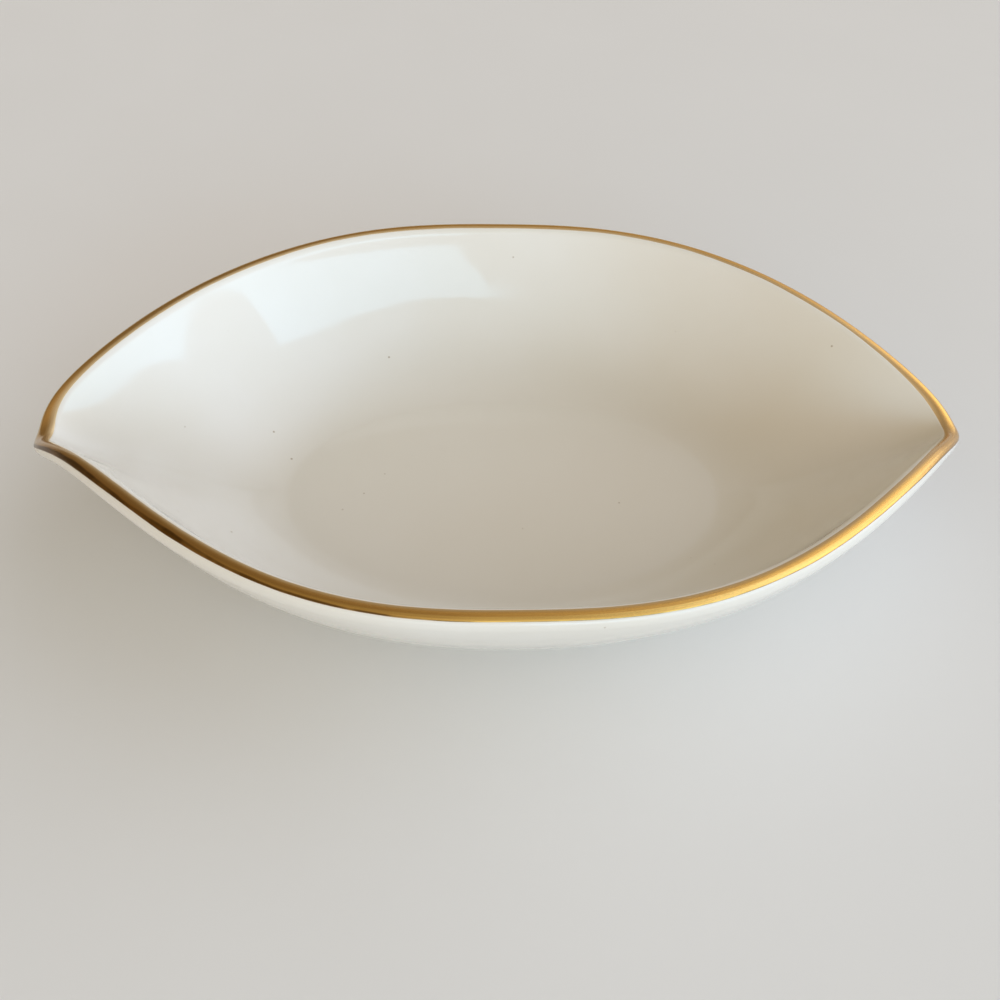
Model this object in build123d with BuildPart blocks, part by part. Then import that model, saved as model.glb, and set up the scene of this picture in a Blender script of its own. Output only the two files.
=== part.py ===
from math import cos, hypot, pi, radians, sin, sqrt, tan
import os

from build123d import *

# A boat shaped ring dish of glazed porcelain with a gold band fired on its lip.
# X runs from tip to tip, Y across, Z up. The origin is on the table under the middle of the dish.

# Overall sizes, in millimetres
overall_length = 150.0
overall_width = 91.4
rim_height = 29.0

# How the rim's outline is shaped, seen from above: a pointed oval with rounded tips
outline_power = 2.6
outline_pinch_power = 1.41
tip_rounding = 3.9

# How far the rim dips at each tip, and how suddenly
tip_droop = 10.2
droop_power = 8.7

# The lip is half round, a little fuller at the tips
lip_radius = 1.55
tip_lip_radius = 1.85
lip_growth_power = 2.0

# The flat oval well
well_length = 74.4
well_width = 45.8
floor_height = 4.5

# The foot ring: an oval ring under the floor, with its outer face this far outside the well's edge
foot_end_offset = 4.8
foot_side_offset = 5.85
foot_rim_width = 2.2
foot_height = 1.5
foot_edge_rounding = 0.5
foot_seat = 0.9
foot_draft = 0.4

# Slopes of the wall, in degrees from the horizontal
side_lip_slope = 80.0
tip_lip_slope = 48.0
side_foot_slope = 42.0
tip_foot_slope = 30.0
slope_change_power = 3.0
floor_edge_slope = 5.0

# How the wall's curves are pulled, as shares of the straight run from end to end
inner_low_pull_share = 0.36
inner_high_pull_share = 0.24
outer_low_pull_share = 0.3
outer_high_pull_share = 0.21

# How deep the wall ring is let into the floor plate
floor_tongue = 1.5

# The gold band, fired over the lip, with its edges given as angles from the lip's top, in degrees
gold_thickness = 0.15
side_gold_inner_angle = 28.0
side_gold_outer_angle = 36.0
tip_gold_inner_angle = 45.0
tip_gold_outer_angle = 105.0
cutter_overrun = 1.0

# Where the wall's cross sections stand: shares of the half width, from the tip to the middle
station_width_shares = (0, 0.045, 0.095, 0.155, 0.235, 0.345, 0.48, 0.63, 0.77, 0.88, 0.96, 0.99, 1)
# Each cross section's upright plane points from the long axis, at this share of its station's x
aim_share = 0.42

foot_length = well_length + 2 * foot_end_offset
foot_width = well_width + 2 * foot_side_offset
quarter_turn = pi / 2
half_length = overall_length / 2 - tip_lip_radius
half_width = overall_width / 2 - lip_radius
rounded_width = hypot(half_width, tip_rounding)
virtual_length = half_length / (1 - (tip_rounding / rounded_width) ** (1 / outline_pinch_power)) ** (
    1 / outline_power
)


def blend(side_value, tip_value, share):
    """A value that goes from its size at the sides to its size at the tips."""
    return side_value + (tip_value - side_value) * share


class Station:
    """One upright cross section of the wall: where it stands and how large it is there."""

    def __init__(self, width_share, side):
        self.y = side * half_width * width_share
        pinch = (hypot(self.y, tip_rounding) / rounded_width) ** (1 / outline_pinch_power)
        self.x = virtual_length * max(0, 1 - pinch) ** (1 / outline_power)
        length_share = self.x / half_length
        droop_share = length_share**droop_power
        slope_share = length_share**slope_change_power
        self.radius = blend(lip_radius, tip_lip_radius, length_share**lip_growth_power)
        self.lip_z = rim_height - lip_radius - tip_droop * droop_share
        self.lip_slope = radians(blend(side_lip_slope, tip_lip_slope, slope_share))
        self.foot_slope = radians(blend(side_foot_slope, tip_foot_slope, slope_share))
        self.gold_inner = -radians(blend(side_gold_inner_angle, tip_gold_inner_angle, droop_share))
        self.gold_outer = radians(blend(side_gold_outer_angle, tip_gold_outer_angle, droop_share))
        self.aim = aim_share * self.x
        self.lip_s = hypot(self.x - self.aim, self.y)
        self.direction = ((self.x - self.aim) / self.lip_s, self.y / self.lip_s)
        self.plane = Plane(
            origin=(self.aim, 0, 0),
            x_dir=(self.direction[0], self.direction[1], 0),
            z_dir=(self.direction[1], -self.direction[0], 0),
        )

    def reach(self, length, width):
        """Distance in this plane from its aim point out to an oval round the origin."""
        a, b = length / 2, width / 2
        dx, dy = self.direction
        qa = (dx / a) ** 2 + (dy / b) ** 2
        qb = self.aim * dx / a**2
        qc = (self.aim / a) ** 2 - 1
        return (-qb + sqrt(qb**2 - qa * qc)) / qa

    def on_lip(self, angle, radius):
        """A point round the lip's centre, at an angle from the vertical, outwards positive."""
        return (self.lip_s + radius * sin(angle), self.lip_z + radius * cos(angle))


def step(start, slope, distance):
    """The point a distance away from a start, up a slope."""
    return (start[0] + distance * cos(slope), start[1] + distance * sin(slope))


def wall_section(station):
    """The closed cross section of wall, lip and foot ring at one station."""
    well = station.reach(well_length, well_width)
    foot_out = station.reach(foot_length, foot_width)
    foot_in = station.reach(foot_length - 2 * foot_rim_width, foot_width - 2 * foot_rim_width)
    floor_slope = radians(floor_edge_slope)
    start = (well - floor_tongue, floor_height - floor_tongue * tan(floor_slope))
    lip_lean = quarter_turn - station.lip_slope
    lip_in = station.on_lip(lip_lean - quarter_turn, station.radius)
    lip_top = station.on_lip(lip_lean, station.radius)
    lip_out = station.on_lip(lip_lean + quarter_turn, station.radius)
    wall_foot = (foot_out + foot_draft, foot_height)
    inner_run = hypot(lip_in[0] - start[0], lip_in[1] - start[1])
    outer_run = hypot(lip_out[0] - wall_foot[0], lip_out[1] - wall_foot[1])
    with BuildSketch(station.plane) as section:
        with BuildLine():
            Bezier(
                start,
                step(start, floor_slope, inner_low_pull_share * inner_run),
                step(lip_in, station.lip_slope, -inner_high_pull_share * inner_run),
                lip_in,
            )
            ThreePointArc(lip_in, lip_top, lip_out)
            Bezier(
                lip_out,
                step(lip_out, station.lip_slope, -outer_high_pull_share * outer_run),
                step(wall_foot, station.foot_slope, outer_low_pull_share * outer_run),
                wall_foot,
            )
            Polyline(
                wall_foot,
                (foot_out, foot_edge_rounding),
                (foot_out - foot_edge_rounding, 0),
                (foot_in + foot_edge_rounding, 0),
                (foot_in, foot_edge_rounding),
                (foot_in - foot_draft, foot_height + foot_seat),
                (well - floor_tongue, foot_height + foot_seat),
                start,
            )
        make_face()
    return section.sketch


def band_section(station):
    """The closed cross section of the zone on the lip that the gold covers."""
    inner = station.gold_inner
    outer = station.gold_outer
    middle = (inner + outer) / 2
    low = station.radius - gold_thickness
    high = station.radius + cutter_overrun
    with BuildSketch(station.plane) as section:
        with BuildLine():
            ThreePointArc(
                station.on_lip(inner, high), station.on_lip(middle, high), station.on_lip(outer, high)
            )
            Line(station.on_lip(outer, high), station.on_lip(outer, low))
            ThreePointArc(
                station.on_lip(outer, low), station.on_lip(middle, low), station.on_lip(inner, low)
            )
            Line(station.on_lip(inner, low), station.on_lip(inner, high))
        make_face()
    return section.sketch


# Stations run from the middle of the back, round the right tip, to the middle of the front
back_stations = [Station(share, 1) for share in reversed(station_width_shares)]
front_stations = [Station(share, -1) for share in station_width_shares[1:]]
stations = back_stations + front_stations

# The whole dish before the gold is let into its lip: wall ring, floor plate and foot ring
with BuildPart() as plain_dish:
    loft([wall_section(station) for station in stations])
    mirror(about=Plane.YZ)
    with BuildSketch(Plane.XY.offset(foot_height)):
        Ellipse((foot_length - foot_rim_width) / 2, (foot_width - foot_rim_width) / 2)
    extrude(amount=floor_height - foot_height)

# The zone of the lip that the gold fills
with BuildPart() as band_zone:
    loft([band_section(station) for station in stations])
    mirror(about=Plane.YZ)

# Gold band
with BuildPart() as gold_rim_band:
    add(plain_dish.part)
    add(band_zone.part, mode=Mode.INTERSECT)

# Porcelain body
with BuildPart() as porcelain_dish:
    add(plain_dish.part)
    add(band_zone.part, mode=Mode.SUBTRACT)

os.makedirs("parts", exist_ok=True)
porcelain_dish.part.label = "porcelain_dish"
export_step(porcelain_dish.part, "parts/porcelain_dish.step")
gold_rim_band.part.label = "gold_rim_band"
export_step(gold_rim_band.part, "parts/gold_rim_band.step")
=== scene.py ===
import bmesh
import bpy
from math import cos, exp, hypot, pi, radians, sin, sqrt
from mathutils import Matrix, Vector, noise


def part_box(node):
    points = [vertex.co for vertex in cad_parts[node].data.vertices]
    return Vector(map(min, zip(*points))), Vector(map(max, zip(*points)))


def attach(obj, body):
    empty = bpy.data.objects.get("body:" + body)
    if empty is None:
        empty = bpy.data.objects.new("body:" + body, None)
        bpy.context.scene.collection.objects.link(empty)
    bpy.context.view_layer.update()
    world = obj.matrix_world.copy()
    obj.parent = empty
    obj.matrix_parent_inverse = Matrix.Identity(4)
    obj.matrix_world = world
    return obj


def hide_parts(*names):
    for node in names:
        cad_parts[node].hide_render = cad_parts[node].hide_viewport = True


# A boat shaped ring dish of ivory porcelain with a fired gold lip, on a pale floor.
# Metres, in the frame's own axes: X from tip to tip, Y across, Z up, the floor at zero.

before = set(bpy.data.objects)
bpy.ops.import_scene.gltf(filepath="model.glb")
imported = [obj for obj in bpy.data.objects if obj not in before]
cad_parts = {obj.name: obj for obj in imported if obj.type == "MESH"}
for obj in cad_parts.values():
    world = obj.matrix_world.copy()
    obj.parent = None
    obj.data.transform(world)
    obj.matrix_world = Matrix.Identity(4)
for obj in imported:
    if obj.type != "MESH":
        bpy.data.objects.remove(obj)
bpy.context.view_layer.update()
body_low, body_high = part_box("porcelain_dish")
band_low, band_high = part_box("gold_rim_band")

MM = 0.001

# Sizes of the dish: its length and width are the frame's, drawn in by a hair so that nothing passes them
HAIR = 0.002 * MM
LENGTH = band_high.x - band_low.x - HAIR
WIDTH = body_high.y - body_low.y - HAIR
LIP_RADIUS = 1.55 * MM
TIP_LIP_RADIUS = 1.85 * MM
RIM_HEIGHT = 28.99 * MM
TIP_ROUNDING = 4.4 * MM
OUTLINE_POWER = 2.69
PINCH_POWER = 1.6
LIP_GROWTH_POWER = 2.0

WELL_LENGTH = 74.4 * MM
WELL_WIDTH = 45.8 * MM
FLOOR_HEIGHT = 4.5 * MM
FOOT_LENGTH = 84.0 * MM
FOOT_WIDTH = 57.5 * MM
FOOT_RIM_WIDTH = 2.2 * MM
FOOT_HEIGHT = 1.5 * MM
FOOT_DRAFT = 0.4 * MM
FOOT_EDGE_ROUNDING = 0.5 * MM
# How far in from the corner a rounded edge's middle lies, as a share of its rounding
ROUNDING_MIDDLE = 0.3
RECESS_EDGE_DROP = 0.2 * FOOT_EDGE_ROUNDING

SIDE_LIP_SLOPE = 80.0
TIP_LIP_SLOPE = 48.0
INNER_SIDE_LIP_SLOPE = 72.0
INNER_TIP_LIP_SLOPE = 46.0
SIDE_FOOT_SLOPE = 42.0
TIP_FOOT_SLOPE = 30.0
SLOPE_CHANGE_POWER = 3.0
WELL_EDGE_SLOPE = 7.0
INNER_LOW_PULL = 0.36
INNER_HIGH_PULL = 0.24
OUTER_LOW_PULL = 0.3
OUTER_HIGH_PULL = 0.21
AIM_SHARE = 0.42

# The tips were pinched by hand and aren't quite alike: how far and how suddenly the rim dips there,
# how much fuller it is beside the tip at the back and the front, and how the gold lies round it
LEFT_TIP = {
    "dip": 10.7 * MM,
    "dip_power": 8.5,
    "back_fullness": 1.1 * MM,
    "front_fullness": 0.44 * MM,
    "gold_inset": 1.3 * MM,
    "gold_reach": 3.0 * MM,
    "gold_outset": 2.7 * MM,
}
RIGHT_TIP = {
    "dip": 9.95 * MM,
    "dip_power": 6.0,
    "back_fullness": 0.5 * MM,
    "front_fullness": -0.26 * MM,
    "gold_inset": 1.28 * MM,
    "gold_reach": 9.0 * MM,
    "gold_outset": 2.5 * MM,
}
FULLNESS_PLACE = 6.0 * MM
FULLNESS_POWER = 3

# The folds that run down from the tips are eased over this far, on the inside and underneath, and the
# easing looks this many times as far along the ring
FOLD_EASE = 5.0 * MM
EASE_WINDOW = 2.6

# How steeply that easing sets in below the lip, inside and underneath, and how steeply it fades above
# the well and the foot; underneath it reaches only a share of the full easing
INNER_EASE_ONSET = 2.5
OUTER_EASE_ONSET = 3.0
EASE_FADING = 3.0
OUTER_EASE_SHARE = 0.7

# How far the gold comes inwards and outwards from the lip's top, along the surface
SIDE_GOLD_INSET = 0.76 * MM
SIDE_GOLD_OUTSET = 1.2 * MM
GOLD_WANDER = 0.1 * MM
GOLD_FINE_WANDER = 0.04 * MM
WANDER_LENGTH = 12.0 * MM
FINE_WANDER_LENGTH = 2.5 * MM
GOLD_EDGE = 0.12 * MM
GOLD_FILM = 0.06 * MM
GOLD_TUCK = 0.05 * MM
GOLD_EDGE_TUCK = 0.8 * GOLD_TUCK

# How finely the pieces are divided
QUARTER_STATIONS = 68
STATION_CROWDING = 1.25
FLOOR_SHARES = (0.06, 0.25, 0.45, 0.65, 0.82, 0.93, 0.98)
RECESS_SHARES = (0.9, 0.7, 0.4, 0.06)
WALL_STEPS = 20
WALL_CROWDING = 1.6
LIP_STEPS = 5
SEAT_STEPS = 5
BAND_STEPS = 16
SMOOTHING_LEVEL = 1

# The share of a wall's curve that is walked in one stride when a distance is measured along it
STRIDE = 0.004


class Station:
    """One upright cross section of the dish, at one place round the rim."""

    def __init__(self, turn, quadrant):
        side_x, side_y = quadrant
        tip = LEFT_TIP if side_x < 0 else RIGHT_TIP
        half_length = LENGTH / 2 - TIP_LIP_RADIUS
        half_width = WIDTH / 2 - LIP_RADIUS
        rounded = hypot(half_width, TIP_ROUNDING)
        reach = half_length / (1 - (TIP_ROUNDING / rounded) ** (1 / PINCH_POWER)) ** (1 / OUTLINE_POWER)
        y = half_width * sin(turn) ** STATION_CROWDING
        pinch = (hypot(y, TIP_ROUNDING) / rounded) ** (1 / PINCH_POWER)
        x = reach * max(0.0, 1 - pinch) ** (1 / OUTLINE_POWER)
        share = x / half_length
        dip = share ** tip["dip_power"]
        slope = share**SLOPE_CHANGE_POWER
        fullness = tip["back_fullness"] if side_y > 0 else tip["front_fullness"]
        x += fullness * (y / FULLNESS_PLACE * exp(1 - y / FULLNESS_PLACE)) ** FULLNESS_POWER
        self.x = side_x * x
        self.y = side_y * y
        self.radius = blend(LIP_RADIUS, TIP_LIP_RADIUS, share**LIP_GROWTH_POWER)
        self.lip_z = RIM_HEIGHT - LIP_RADIUS - tip["dip"] * dip
        self.lip_slope = radians(blend(SIDE_LIP_SLOPE, TIP_LIP_SLOPE, slope))
        self.inner_slope = radians(blend(INNER_SIDE_LIP_SLOPE, INNER_TIP_LIP_SLOPE, slope))
        self.foot_slope = radians(blend(SIDE_FOOT_SLOPE, TIP_FOOT_SLOPE, slope))
        self.aim = AIM_SHARE * self.x
        self.lip_s = hypot(self.x - self.aim, self.y)
        self.direction = Vector((self.x - self.aim, self.y, 0)) / self.lip_s
        self.inner, self.outer = self.wall_curves()
        place = Vector((self.x, self.y, 0))
        self.inset = blend(SIDE_GOLD_INSET, tip["gold_inset"], exp(-((y / tip["gold_reach"]) ** 2)))
        self.inset += brush_wander(place)
        self.outset = blend(SIDE_GOLD_OUTSET, tip["gold_outset"], dip)
        self.outset += brush_wander(place + Vector((0, 0, 1)))

    def reach(self, length, width):
        """Distance from the aim point out to an oval round the middle."""
        a, b = length / 2, width / 2
        qa = (self.direction.x / a) ** 2 + (self.direction.y / b) ** 2
        qb = self.aim * self.direction.x / a**2
        qc = (self.aim / a) ** 2 - 1
        return (-qb + sqrt(qb**2 - qa * qc)) / qa

    def place(self, s, z):
        """The point in the dish at a distance out from the aim point and a height."""
        return Vector((self.aim, 0, 0)) + self.direction * s + Vector((0, 0, z))

    def on_lip(self, angle):
        """A section point on the lip, at an angle from upright, outwards positive."""
        return (self.lip_s + self.radius * sin(angle), self.lip_z + self.radius * cos(angle))

    def wall_curves(self):
        """The pull points of the inner wall, going up, and of the outer wall, going down."""
        inner_start = (self.reach(WELL_LENGTH, WELL_WIDTH), FLOOR_HEIGHT)
        outer_end = (self.reach(FOOT_LENGTH, FOOT_WIDTH) + FOOT_DRAFT, FOOT_HEIGHT)
        lip_in = self.on_lip(-self.inner_slope)
        lip_out = self.on_lip(pi - self.lip_slope)
        inner_run = hypot(lip_in[0] - inner_start[0], lip_in[1] - inner_start[1])
        outer_run = hypot(lip_out[0] - outer_end[0], lip_out[1] - outer_end[1])
        inner = (
            inner_start,
            along(inner_start, radians(WELL_EDGE_SLOPE), INNER_LOW_PULL * inner_run),
            along(lip_in, self.inner_slope, -INNER_HIGH_PULL * inner_run),
            lip_in,
        )
        outer = (
            lip_out,
            along(lip_out, self.lip_slope, -OUTER_HIGH_PULL * outer_run),
            along(outer_end, self.foot_slope, OUTER_LOW_PULL * outer_run),
            outer_end,
        )
        return inner, outer

    def inner_share(self, travel):
        """The share along the inner wall's curve at a distance below the lip's round part."""
        share, walked = 1.0, 0.0
        here = self.inner[3]
        while True:
            share -= STRIDE
            there = bezier(self.inner, share)
            stride = hypot(there[0] - here[0], there[1] - here[1])
            if walked + stride >= travel:
                return share + STRIDE * (1 - (travel - walked) / stride)
            walked += stride
            here = there

    def surface(self, travel, lift):
        """The point at a distance from the lip's top, outwards positive, lifted off the surface."""
        round_part = self.radius * self.inner_slope
        if travel >= -round_part:
            angle = travel / self.radius
            s, z = self.on_lip(angle)
            return self.place(s + lift * sin(angle), z + lift * cos(angle))
        share = self.inner_share(-travel - round_part)
        s, z = bezier(self.inner, share)
        above = bezier(self.inner, share + STRIDE / 2)
        stride = hypot(above[0] - s, above[1] - z)
        return self.place(s - lift * (above[1] - z) / stride, z + lift * (above[0] - s) / stride)


def blend(start, end, share):
    return start + (end - start) * share


def along(start, slope, distance):
    return (start[0] + distance * cos(slope), start[1] + distance * sin(slope))


def bezier(points, share):
    """A point on the curve pulled by four section points."""
    weights = ((1 - share) ** 3, 3 * (1 - share) ** 2 * share, 3 * (1 - share) * share**2, share**3)
    return tuple(sum(w * p[i] for w, p in zip(weights, points)) for i in (0, 1))


def brush_wander(place):
    """How far the edge of the gold strays at a place, as a banding brush does."""
    broad = GOLD_WANDER * noise.noise(place / WANDER_LENGTH)
    return broad + GOLD_FINE_WANDER * noise.noise(place / FINE_WANDER_LENGTH)


def porcelain_levels(station):
    """Points from the floor's middle, up the inside, over the lip, down the outside and under the foot."""
    well = station.place(*station.inner[0])
    points = [Vector((well.x * share, well.y * share, FLOOR_HEIGHT)) for share in FLOOR_SHARES]
    round_part = station.radius * station.inner_slope
    bare = max(station.inset, round_part) + 2 * GOLD_EDGE
    wall_end = station.inner_share(bare - round_part)
    for share in wall_shares()[:0:-1]:
        points.append(station.place(*bezier(station.inner, wall_end * (1 - share))))
    for step in range(LIP_STEPS + 1):
        points.append(station.surface(blend(-bare, -station.inset, step / LIP_STEPS), 0))
    first, last = -station.inset + GOLD_EDGE, station.outset - GOLD_EDGE
    for step in range(SEAT_STEPS + 1):
        points.append(station.surface(blend(first, last, step / SEAT_STEPS), -GOLD_TUCK))
    lip_end = station.radius * (pi - station.lip_slope)
    for step in range(LIP_STEPS):
        points.append(station.surface(blend(station.outset, lip_end, step / LIP_STEPS), 0))
    for share in wall_shares():
        points.append(station.place(*bezier(station.outer, share)))
    foot_out = station.reach(FOOT_LENGTH, FOOT_WIDTH)
    foot_in = station.reach(FOOT_LENGTH - 2 * FOOT_RIM_WIDTH, FOOT_WIDTH - 2 * FOOT_RIM_WIDTH)
    foot = (
        (foot_out + FOOT_DRAFT / 2, (FOOT_HEIGHT + FOOT_EDGE_ROUNDING) / 2),
        (foot_out, FOOT_EDGE_ROUNDING),
        (foot_out - ROUNDING_MIDDLE * FOOT_EDGE_ROUNDING, ROUNDING_MIDDLE * FOOT_EDGE_ROUNDING),
        (foot_out - FOOT_EDGE_ROUNDING, 0),
        (foot_in + FOOT_EDGE_ROUNDING, 0),
        (foot_in + ROUNDING_MIDDLE * FOOT_EDGE_ROUNDING, ROUNDING_MIDDLE * FOOT_EDGE_ROUNDING),
        (foot_in, FOOT_EDGE_ROUNDING),
        (foot_in - FOOT_DRAFT, FOOT_HEIGHT - RECESS_EDGE_DROP),
        (foot_in - 2 * FOOT_DRAFT, FOOT_HEIGHT),
    )
    points.extend(station.place(*point) for point in foot)
    recess = station.place(foot_in, FOOT_HEIGHT)
    for share in RECESS_SHARES:
        points.append(Vector((recess.x * share, recess.y * share, FOOT_HEIGHT)))
    return points


def wall_shares():
    """How far along the wall each of its levels is, from the lip down, close together by the lip."""
    return [(step / WALL_STEPS) ** WALL_CROWDING for step in range(WALL_STEPS + 1)]


def gold_levels(station):
    """Points of the gold film, over the lip from its inner edge to its outer one and back underneath."""
    points = []
    for index, share in enumerate(band_shares()):
        if index > BAND_STEPS:
            lift = -GOLD_TUCK - GOLD_FILM
        elif 0 < share < 1:
            lift = 0
        else:
            lift = -GOLD_EDGE_TUCK
        points.append(station.surface(blend(-station.inset, station.outset, share), lift))
    return points


def band_shares():
    """How far across the band each of its levels is, over the top and back underneath."""
    over = [step / BAND_STEPS for step in range(BAND_STEPS + 1)]
    return over + over[::-1]


def eased_ring(ring, weight):
    """A closed ring of points with its sharp turns eased, by a share of the full easing."""
    count = len(ring)
    gaps = [(ring[i] - ring[i - 1]).length for i in range(count)]
    eased = []
    for i in range(count):
        total = ring[i] * 0
        sum_weights = 0
        for step in (1, -1):
            distance = 0
            j = i
            while distance < EASE_WINDOW * FOLD_EASE:
                pull = exp(-((distance / FOLD_EASE) ** 2)) * (gaps[j] + gaps[(j + 1) % count])
                total += ring[j] * pull
                sum_weights += pull
                distance += gaps[(j + 1) % count] if step > 0 else gaps[j]
                j = (j + step) % count
        eased.append(ring[i].lerp(total / sum_weights, weight))
    return eased


def ease_folds(rings):
    """Eases the folds inside and underneath the tips, and leaves the lip, the floor and the foot alone."""
    last_inner = len(FLOOR_SHARES) + WALL_STEPS
    first_outer = last_inner + 2 * LIP_STEPS + SEAT_STEPS + 2
    for step, share in enumerate(wall_shares()[1:-1], 1):
        inner_weight = min(1.0, INNER_EASE_ONSET * share, EASE_FADING * (1 - share)) ** 2
        outer_weight = min(1.0, OUTER_EASE_ONSET * share, EASE_FADING * (1 - share)) ** 2
        rings[last_inner - step] = eased_ring(rings[last_inner - step], inner_weight)
        outer_weight *= OUTER_EASE_SHARE
        rings[first_outer + step] = eased_ring(rings[first_outer + step], outer_weight)
    return rings


def rim_stations():
    """Stations all the way round: back to right tip, to the front, to the left tip and on."""
    quarter = [(pi / 2) * step / QUARTER_STATIONS for step in range(QUARTER_STATIONS + 1)]
    back_right = [Station(turn, (1, 1)) for turn in reversed(quarter)]
    front_right = [Station(turn, (1, -1)) for turn in quarter[1:]]
    front_left = [Station(turn, (-1, -1)) for turn in reversed(quarter[:-1])]
    back_left = [Station(turn, (-1, 1)) for turn in quarter[1:-1]]
    return back_right + front_right + front_left + back_left


def grow_rings(bm, rings, shares, closed):
    """Rings of points, each extruded from the one before; closed joins the last to the first."""
    number = bm.verts.layers.int.new("station")
    across = bm.verts.layers.float.new("across")
    first = bmesh.ops.create_circle(bm, segments=len(rings[0]), radius=1)["verts"]
    for index, vert in enumerate(first):
        vert[number] = index
        vert[across] = shares[0]
        vert.co = rings[0][index]
    first_edges = list({edge for vert in first for edge in vert.link_edges})
    edges = first_edges
    for ring, share in zip(rings[1:], shares[1:]):
        grown = bmesh.ops.extrude_edge_only(bm, edges=edges)["geom"]
        verts = [item for item in grown if isinstance(item, bmesh.types.BMVert)]
        edges = [item for item in grown if isinstance(item, bmesh.types.BMEdge)]
        for vert in verts:
            vert.co = ring[vert[number]]
            vert[across] = share
    if closed:
        bmesh.ops.bridge_loops(bm, edges=first_edges + edges)
    else:
        for ring_edges in (first_edges, edges):
            cap = bmesh.ops.contextual_create(bm, geom=ring_edges)["faces"]
            bmesh.ops.poke(bm, faces=cap)
    bmesh.ops.recalc_face_normals(bm, faces=bm.faces)


def finished_piece(name, bm, material):
    """The mesh as a smooth shaded object that rides on the dish's body."""
    mesh = bpy.data.meshes.new(name)
    bm.to_mesh(mesh)
    bm.free()
    mesh.shade_smooth()
    mesh.materials.append(material)
    piece = bpy.data.objects.new(name, mesh)
    bpy.context.scene.collection.objects.link(piece)
    smoothing = piece.modifiers.new("smoothing", "SUBSURF")
    smoothing.levels = SMOOTHING_LEVEL
    smoothing.render_levels = SMOOTHING_LEVEL
    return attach(piece, "root")


class Finish:
    """A node material under construction, with short ways to add and join its nodes."""

    def __init__(self, name):
        self.material = bpy.data.materials.new(name)
        self.material.use_nodes = True
        self.nodes = self.material.node_tree.nodes
        self.shader = self.nodes["Principled BSDF"]
        self.coordinates = self.nodes.new("ShaderNodeTexCoord").outputs["Object"]

    def join(self, source, target):
        self.material.node_tree.links.new(source, target)

    def noise(self, scale, detail=3.0, across=None):
        """Noise whose features are a metre over the scale, drawn out along the rim if across is given."""
        node = self.nodes.new("ShaderNodeTexNoise")
        node.inputs["Scale"].default_value = scale
        node.inputs["Detail"].default_value = detail
        self.join(self.coordinates, node.inputs["Vector"])
        if across:
            node.noise_dimensions = "4D"
            self.join(across, node.inputs["W"])
        return node.outputs["Fac"]

    def side(self, axis):
        """How far along one of the dish's axes a place is, in metres: 0 is X, 1 is Y and 2 is Z."""
        node = self.nodes.new("ShaderNodeSeparateXYZ")
        self.join(self.coordinates, node.inputs["Vector"])
        return node.outputs[axis]

    def ranged(self, source, start, end, low=0.0, high=1.0):
        """A value mapped from start..end to low..high, and held there beyond."""
        node = self.nodes.new("ShaderNodeMapRange")
        for name, value in (("From Min", start), ("From Max", end), ("To Min", low), ("To Max", high)):
            node.inputs[name].default_value = value
        self.join(source, node.inputs["Value"])
        return node.outputs["Result"]

    def times(self, first, second):
        return self.reckoned("MULTIPLY", first, second)

    def plus(self, first, second):
        return self.reckoned("ADD", first, second)

    def reckoned(self, operation, first, second):
        node = self.nodes.new("ShaderNodeMath")
        node.operation = operation
        for socket, value in zip(node.inputs, (first, second)):
            if isinstance(value, float):
                socket.default_value = value
            else:
                self.join(value, socket)
        return node.outputs["Value"]

    def tinted(self, share, under, over):
        """A colour or a colour socket with another laid over it by a share."""
        node = self.nodes.new("ShaderNodeMix")
        node.data_type = "RGBA"
        sockets = [socket for socket in node.inputs if socket.type == "RGBA"]
        self.join(share, node.inputs["Factor"])
        for socket, value in zip(sockets, (under, over)):
            if isinstance(value, tuple):
                socket.default_value = (*value, 1)
            else:
                self.join(value, socket)
        return next(socket for socket in node.outputs if socket.type == "RGBA")

    def bump(self, height, depth):
        """Relief on the shader's normal: where the height is one, it stands this deep."""
        node = self.nodes.new("ShaderNodeBump")
        node.inputs["Distance"].default_value = depth
        self.join(height, node.inputs["Height"])
        self.join(node.outputs["Normal"], self.shader.inputs["Normal"])


IVORY = (0.755, 0.727, 0.668)
WARM_IVORY = (0.735, 0.70, 0.625)
LOWER_GLAZE_TONE = (0.72, 0.685, 0.60)
SPECK = (0.33, 0.25, 0.15)
BARE_BISQUE = (0.74, 0.68, 0.59)
SPECK_CELLS = 300
GLAZE_IOR = 1.52
GLAZE_RIPPLE = 0.05 * MM

# Between which heights over the table the glaze's darker tone towards the bottom and the bare foot end
LOWER_TONE_HEIGHTS = (4 * MM, 12 * MM)
BARE_HEIGHTS = (0.25 * MM, 0.45 * MM)


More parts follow.
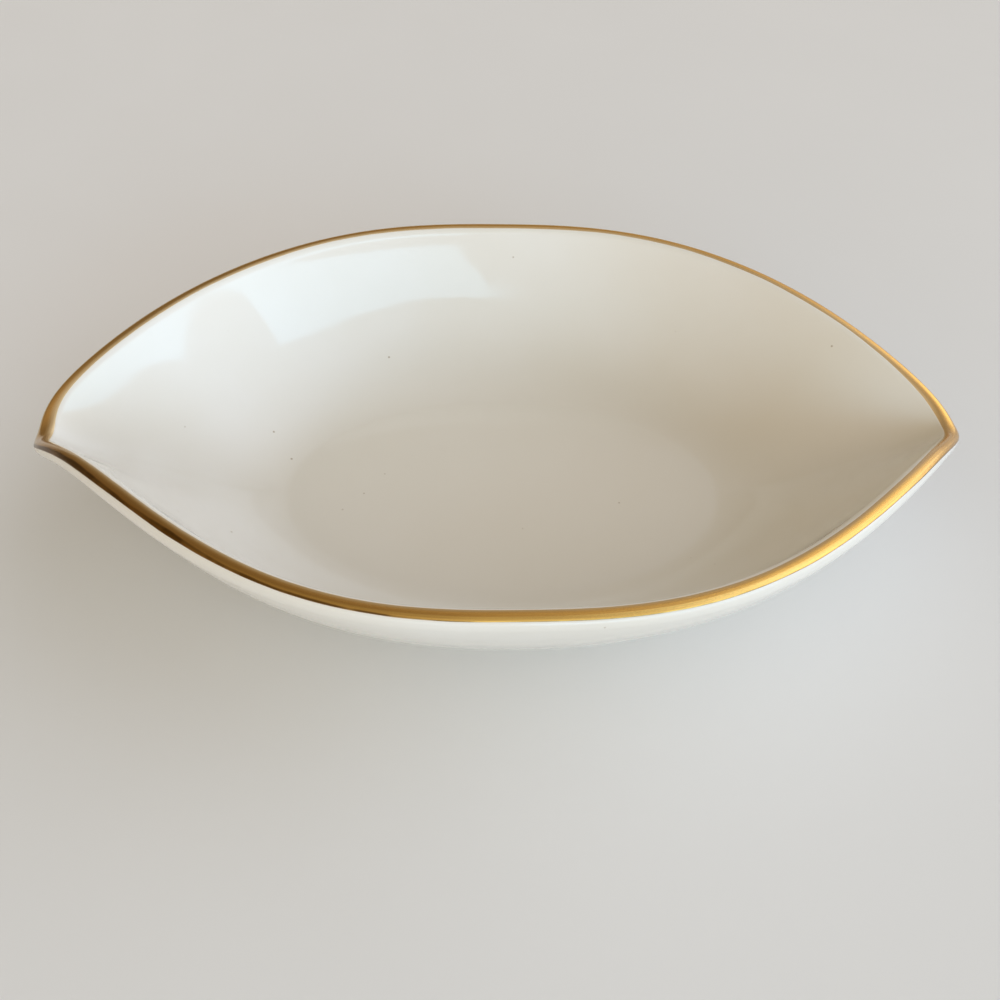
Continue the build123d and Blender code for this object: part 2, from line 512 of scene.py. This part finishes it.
def glazed_porcelain():
    """Ivory porcelain under a clear glaze, with a few iron specks, and bare where it stands."""
    finish = Finish("glazed_porcelain")
    clouds = finish.ranged(finish.noise(35), 0.35, 0.65)
    colour = finish.tinted(clouds, IVORY, WARM_IVORY)
    # The glaze's tone is darker towards the bottom, below these heights, in the well and low on the
    # outside
    lower_down = finish.ranged(finish.side(2), *LOWER_TONE_HEIGHTS, 1.0, 0.0)
    colour = finish.tinted(finish.times(lower_down, 0.7), colour, LOWER_GLAZE_TONE)
    cells = finish.nodes.new("ShaderNodeTexVoronoi")
    cells.inputs["Scale"].default_value = SPECK_CELLS
    finish.join(finish.coordinates, cells.inputs["Vector"])
    spots = finish.ranged(cells.outputs["Distance"], 0.035, 0.075, 1.0, 0.0)
    channels = finish.nodes.new("ShaderNodeSeparateColor")
    finish.join(cells.outputs["Color"], channels.inputs["Color"])
    chosen = finish.ranged(channels.outputs["Red"], 0.80, 0.82)
    colour = finish.tinted(finish.times(finish.times(spots, chosen), 0.75), colour, SPECK)
    bare = finish.ranged(finish.side(2), *BARE_HEIGHTS, 1.0, 0.0)
    finish.join(finish.tinted(bare, colour, BARE_BISQUE), finish.shader.inputs["Base Color"])
    gloss = finish.ranged(finish.noise(120, 5.0), 0.4, 0.7, 0.045, 0.10)
    dull = finish.nodes.new("ShaderNodeMix")
    finish.join(bare, dull.inputs["Factor"])
    finish.join(gloss, dull.inputs["A"])
    dull.inputs["B"].default_value = 0.7
    finish.join(dull.outputs["Result"], finish.shader.inputs["Roughness"])
    finish.shader.inputs["IOR"].default_value = GLAZE_IOR
    finish.bump(finish.noise(70, 2.0), GLAZE_RIPPLE)
    return finish.material


DEEP_GOLD = (0.66, 0.35, 0.075)
BRIGHT_GOLD = (0.85, 0.48, 0.12)
# Colour of the burnished lines, and of the painted highlight along the band's outer part
BURNISHED_LINE_AND_HIGHLIGHT = (1.0, 0.69, 0.22)
THIN_GOLD = (0.60, 0.45, 0.25)
# Colour of the painted dark reflection towards the left tip
LEFT_REFLECTION_TAN = (0.40, 0.29, 0.18)
# Brown of the streaks, and of the painted dark reflection at the front left
BROWN_STREAK_AND_REFLECTION = (0.30, 0.15, 0.04)
# A dark line at the gold's outer edge, widened at the front left by painted dark reflection
DARK_EDGE_AND_REFLECTION = (0.10, 0.05, 0.012)
STREAK_DEPTH = 0.008 * MM

# The stretches along the dish over which painted shade deepens the gold to the right, the painted
# highlight along the band's outer part fades out to the right and painted dark reflection tans the gold to
# the left, and the one across it over which the painted dark reflection at the front begins
PAINTED_SHADE_STRETCH = (25 * MM, 58 * MM)
HIGHLIGHT_STRETCH = (50 * MM, 25 * MM)
DARK_REFLECTION_STRETCH = (-5 * MM, -50 * MM)
FRONT_REFLECTION_STRETCH = (0.0, -8 * MM)


def fired_gold():
    """Gold laid on with a banding brush, thin and here and there worn at its inner edge, with painted
    shade deepening it at the right, a painted highlight along its outer part, a dark line at its outer
    edge, and painted dark reflection at the left and along its outer part at the front left.
    """
    finish = Finish("fired_gold")
    across_node = finish.nodes.new("ShaderNodeAttribute")
    across_node.attribute_name = "across"
    across = across_node.outputs["Fac"]
    streaks = finish.noise(40, 2.0, finish.times(across, 5.0))
    hairlines = finish.noise(60, 1.0, finish.times(across, 4.5))
    colour = finish.tinted(finish.ranged(streaks, 0.38, 0.62), DEEP_GOLD, BRIGHT_GOLD)
    # Painted shade: the gold is deepened towards the right tip
    shade_to_right = finish.ranged(finish.side(0), *PAINTED_SHADE_STRETCH, 0.0, 0.8)
    colour = finish.tinted(shade_to_right, colour, DEEP_GOLD)
    # Painted highlight: a bright band along the outer part of the gold, fading out towards the right tip
    highlight_fade_to_right = finish.ranged(finish.side(0), *HIGHLIGHT_STRETCH)
    painted_highlight = finish.times(finish.ranged(across, 0.56, 0.66), highlight_fade_to_right)
    colour = finish.tinted(finish.times(painted_highlight, 0.8), colour, BURNISHED_LINE_AND_HIGHLIGHT)
    colour = finish.tinted(finish.ranged(hairlines, 0.52, 0.60, 0.0, 0.45), colour, BROWN_STREAK_AND_REFLECTION)
    lines = finish.times(finish.ranged(hairlines, 0.46, 0.38), finish.ranged(across, 0.3, 0.5))
    colour = finish.tinted(finish.times(lines, 0.5), colour, BURNISHED_LINE_AND_HIGHLIGHT)
    # Painted dark reflection: the gold is tanned towards the left tip
    reflection_to_left = finish.ranged(finish.side(0), *DARK_REFLECTION_STRETCH)
    front_left_reflection = finish.times(reflection_to_left, finish.ranged(finish.side(1), *FRONT_REFLECTION_STRETCH))
    colour = finish.tinted(finish.times(reflection_to_left, 0.55), colour, LEFT_REFLECTION_TAN)
    # Painted dark reflection along the outer part of the band at the front left
    painted_dark_reflection = finish.times(front_left_reflection, finish.ranged(across, 0.3, 0.7, 0.0, 0.9))
    colour = finish.tinted(painted_dark_reflection, colour, BROWN_STREAK_AND_REFLECTION)
    brushed = finish.plus(across, finish.ranged(streaks, 0.3, 0.7, -0.08, 0.08))
    colour = finish.tinted(finish.ranged(brushed, 0.08, 0.42, 0.85, 0.0), colour, THIN_GOLD)
    # A dark line along the gold's outer edge, widened at the front left by painted dark reflection
    reflection_spread = finish.times(front_left_reflection, finish.ranged(finish.noise(70, 3.0), 0.3, 0.7, 0.12, 0.42))
    edge = finish.ranged(finish.plus(across, reflection_spread), 0.88, 0.97)
    patches = finish.ranged(finish.noise(200, 3.0), 0.40, 0.52, 0.7, 1.0)
    edge_line_and_reflection = finish.times(finish.times(edge, patches), 0.95)
    finish.join(finish.tinted(edge_line_and_reflection, colour, DARK_EDGE_AND_REFLECTION), finish.shader.inputs["Base Color"])
    finish.join(finish.ranged(hairlines, 0.35, 0.65, 0.07, 0.18), finish.shader.inputs["Roughness"])
    inner_edge = finish.ranged(across, 0.015, 0.05, 1.0, 0.0)
    worn = finish.times(inner_edge, finish.ranged(finish.noise(420, 3.0), 0.5, 0.56))
    dense = finish.ranged(brushed, 0.05, 0.36, 0.4, 1.0)
    whole = finish.ranged(worn, 0.0, 1.0, 1.0, 0.0)
    finish.join(finish.times(dense, whole), finish.shader.inputs["Metallic"])
    finish.bump(streaks, STREAK_DEPTH)
    return finish.material


def make_dish():
    stations = rim_stations()
    bm = bmesh.new()
    rings = [list(ring) for ring in zip(*map(porcelain_levels, stations))]
    grow_rings(bm, ease_folds(rings), [0.0] * len(rings), closed=False)
    body = finished_piece("porcelain_body", bm, glazed_porcelain())
    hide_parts("porcelain_dish")
    bm = bmesh.new()
    rings = list(zip(*map(gold_levels, stations)))
    grow_rings(bm, rings, band_shares(), closed=True)
    band = finished_piece("gold_band", bm, fired_gold())
    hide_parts("gold_rim_band")


# The camera's place, found from the rim, the well and the silhouette in the photograph
SENSOR_WIDTH = 36
FOCAL_LENGTH = 36
CAMERA_DISTANCE = 176.7 * MM
CAMERA_ELEVATION = radians(47.0)
CAMERA_SIDE = -0.59 * MM
CAMERA_FORWARD = 1.98 * MM
CAMERA_YAW = radians(4.31)
CAMERA_ROLL = radians(2.79)
CAMERA_NEAR_LIMIT = 10 * MM


def make_camera():
    """A camera at the photograph's angle, with the photograph's focal length."""
    data = bpy.data.cameras.new("camera")
    data.lens = FOCAL_LENGTH
    data.sensor_width = SENSOR_WIDTH
    camera = bpy.data.objects.new("camera", data)
    bpy.context.scene.collection.objects.link(camera)
    c, s = cos(CAMERA_ELEVATION), sin(CAMERA_ELEVATION)
    right, up, back = Vector((1, 0, 0)), Vector((0, s, c)), Vector((0, -c, s))
    rolled_right = right * cos(CAMERA_ROLL) + up * sin(CAMERA_ROLL)
    rolled_up = up * cos(CAMERA_ROLL) - right * sin(CAMERA_ROLL)
    place = Vector((CAMERA_SIDE, CAMERA_FORWARD, 0)) + back * CAMERA_DISTANCE
    pose = Matrix((rolled_right, rolled_up, back)).transposed().to_4x4()
    pose.translation = place
    camera.matrix_world = Matrix.Rotation(-CAMERA_YAW, 4, "Z") @ pose
    data.clip_start = CAMERA_NEAR_LIMIT
    bpy.context.scene.camera = camera


# The room's soft glows, seen from the dish: azimuth and elevation in degrees, brightness and colour
SKY_LIGHT = (0.36, 0.72, 1.0)
COOL_LIGHT = (0.73, 0.825, 1.0)
PLAIN_LIGHT = (0.93, 0.93, 0.92)
WARM_LIGHT = (1.0, 0.79, 0.48)
ROOM_GLOWS = (
    (-90, -3, 1.65, COOL_LIGHT),
    (-40, -10, 0.55, PLAIN_LIGHT),
    (10, 20, 2.36, COOL_LIGHT),
    (-140, 15, 0.6, WARM_LIGHT),
)
GLOW_SHARPNESS = 3.0
ROOM_LEVEL = 0.32

# The window lamp, as the dish sees it: azimuth and elevation of its middle in degrees, and its size
WINDOW_AZIMUTH = -57.8
WINDOW_ELEVATION = 19
WINDOW_DISTANCE = 1.2
WINDOW_WIDTH = 1.22
WINDOW_HEIGHT = 0.38
WINDOW_BRIGHTNESS = 2.5


def toward(azimuth, elevation):
    """The direction from the dish to a place on the dome round it."""
    turn, rise = radians(azimuth), radians(elevation)
    return Vector((cos(turn) * cos(rise), sin(turn) * cos(rise), sin(rise)))


def window_lamp():
    """One flat soft lamp the size and colour of a window, which the glaze shows as a clear patch."""
    data = bpy.data.lights.new("window", "AREA")
    data.shape = "RECTANGLE"
    data.size = WINDOW_WIDTH
    data.size_y = WINDOW_HEIGHT
    data.energy = pi * WINDOW_WIDTH * WINDOW_HEIGHT * WINDOW_BRIGHTNESS
    data.color = SKY_LIGHT
    lamp = bpy.data.objects.new("window", data)
    bpy.context.scene.collection.objects.link(lamp)
    direction = toward(WINDOW_AZIMUTH, WINDOW_ELEVATION)
    lamp.location = direction * WINDOW_DISTANCE
    lamp.rotation_euler = direction.to_track_quat("Z", "Y").to_euler()
    lamp.visible_camera = False


def glowing(tree, azimuth, elevation, brightness, colour):
    """A broad glow in the room's shell, brightest in one direction."""
    facing = tree.nodes.new("ShaderNodeVectorMath")
    facing.operation = "DOT_PRODUCT"
    facing.inputs[1].default_value = toward(azimuth, elevation)
    tree.links.new(tree.nodes["Texture Coordinate"].outputs["Generated"], facing.inputs[0])
    ahead = tree.nodes.new("ShaderNodeMath")
    ahead.operation = "MAXIMUM"
    tree.links.new(facing.outputs["Value"], ahead.inputs[0])
    ahead.inputs[1].default_value = 0
    falling = tree.nodes.new("ShaderNodeMath")
    falling.operation = "POWER"
    tree.links.new(ahead.outputs["Value"], falling.inputs[0])
    falling.inputs[1].default_value = GLOW_SHARPNESS
    level = tree.nodes.new("ShaderNodeMath")
    level.operation = "MULTIPLY"
    tree.links.new(falling.outputs["Value"], level.inputs[0])
    level.inputs[1].default_value = brightness
    glow = tree.nodes.new("ShaderNodeBackground")
    glow.inputs["Color"].default_value = (*colour, 1)
    tree.links.new(level.outputs["Value"], glow.inputs["Strength"])
    return glow.outputs["Background"]


def room_shell():
    """A dim warm room with broad soft glows at its windows' side."""
    world = bpy.data.worlds.new("world")
    world.use_nodes = True
    tree = world.node_tree
    coordinates = tree.nodes.new("ShaderNodeTexCoord")
    coordinates.name = "Texture Coordinate"
    even = tree.nodes["Background"]
    even.inputs["Color"].default_value = (*WARM_LIGHT, 1)
    even.inputs["Strength"].default_value = ROOM_LEVEL
    total = even.outputs["Background"]
    for place in ROOM_GLOWS:
        both = tree.nodes.new("ShaderNodeAddShader")
        tree.links.new(total, both.inputs[0])
        tree.links.new(glowing(tree, *place), both.inputs[1])
        total = both.outputs["Shader"]
    tree.links.new(total, tree.nodes["World Output"].inputs["Surface"])
    bpy.context.scene.world = world


FLOOR_REACH = 3
FLOOR_GREY = (0.73, 0.72, 0.70)
FLOOR_PALE = (0.76, 0.75, 0.73)


def pale_floor():
    """A plain pale floor, very slightly uneven in tone."""
    finish = Finish("pale_floor")
    colour = finish.tinted(finish.noise(14, 4.0), FLOOR_GREY, FLOOR_PALE)
    finish.join(colour, finish.shader.inputs["Base Color"])
    finish.join(finish.ranged(finish.noise(60), 0.3, 0.7, 0.7, 0.85), finish.shader.inputs["Roughness"])
    return finish.material


def make_studio():
    """The pale floor, the room and its window."""
    bm = bmesh.new()
    bmesh.ops.create_grid(bm, x_segments=1, y_segments=1, size=FLOOR_REACH)
    mesh = bpy.data.meshes.new("floor")
    bm.to_mesh(mesh)
    bm.free()
    mesh.materials.append(pale_floor())
    floor = bpy.data.objects.new("floor", mesh)
    bpy.context.scene.collection.objects.link(floor)
    room_shell()
    window_lamp()


make_dish()
make_camera()
make_studio()
bpy.context.scene.view_settings.view_transform = "Standard"
